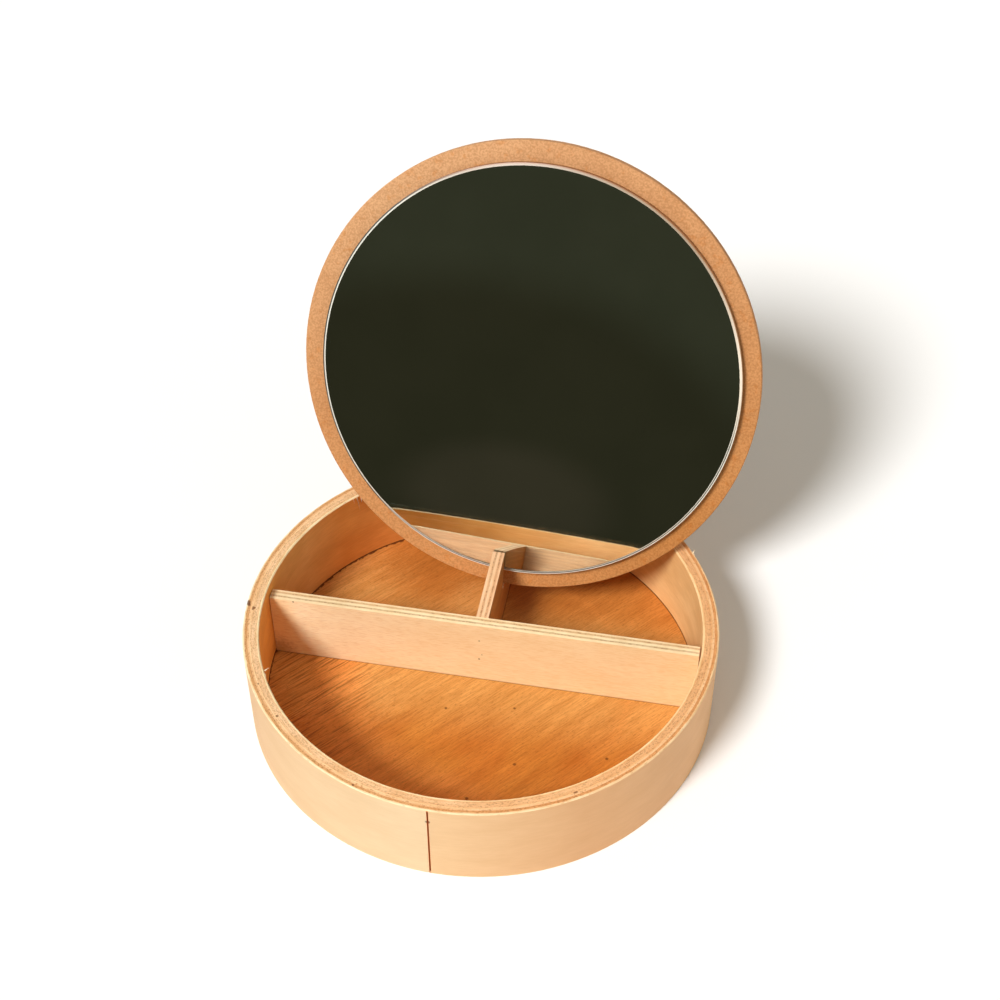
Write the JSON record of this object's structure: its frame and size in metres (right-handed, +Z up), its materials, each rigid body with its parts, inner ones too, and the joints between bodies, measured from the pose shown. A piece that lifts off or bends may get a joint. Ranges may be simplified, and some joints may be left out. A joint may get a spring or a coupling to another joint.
{
  "type": "vanity box with mirror",
  "caption": "Round wooden vanity box with divided compartments and a loose lid whose round mirror stands up, leaning back, in a slanted slot of the cross divider.",
  "frame": {"origin": "centre of the box's underside", "axes": "+X along the long divider, +Y to the back where the lid stands, +Z up"},
  "size_m": [0.1943, 0.2101, 0.1925],
  "materials": {
    "outer_hoop_ply": "pale bent plywood, bare and sanded",
    "inner_hoop_ply": "pale bent plywood, bare and sanded",
    "floor_veneer": "warm brown veneer, bare",
    "divider_ply": "pale plywood with striped edges, bare",
    "lid_fibreboard": "fine fibreboard, bare",
    "foam_tape": "white foam mounting tape",
    "mirror_glass": "silvered glass with a ground edge"
  },
  "bodies": {
    "box": {"outer_hoop": "outer_hoop_ply", "inner_hoop": "inner_hoop_ply", "floor_disc": "floor_veneer", "long_divider": "divider_ply", "cross_divider": "divider_ply"},
    "lid": {"lid_panel": "lid_fibreboard", "mirror_tape": "foam_tape", "mirror_glass": "mirror_glass"}
  },
  "joints": [
    {"name": "lid_lift", "type": "slide", "parent": "box", "child": "lid", "axis": [0.0231, 0.3771, 0.9259], "range_m": [0, 0.04]}
  ]
}
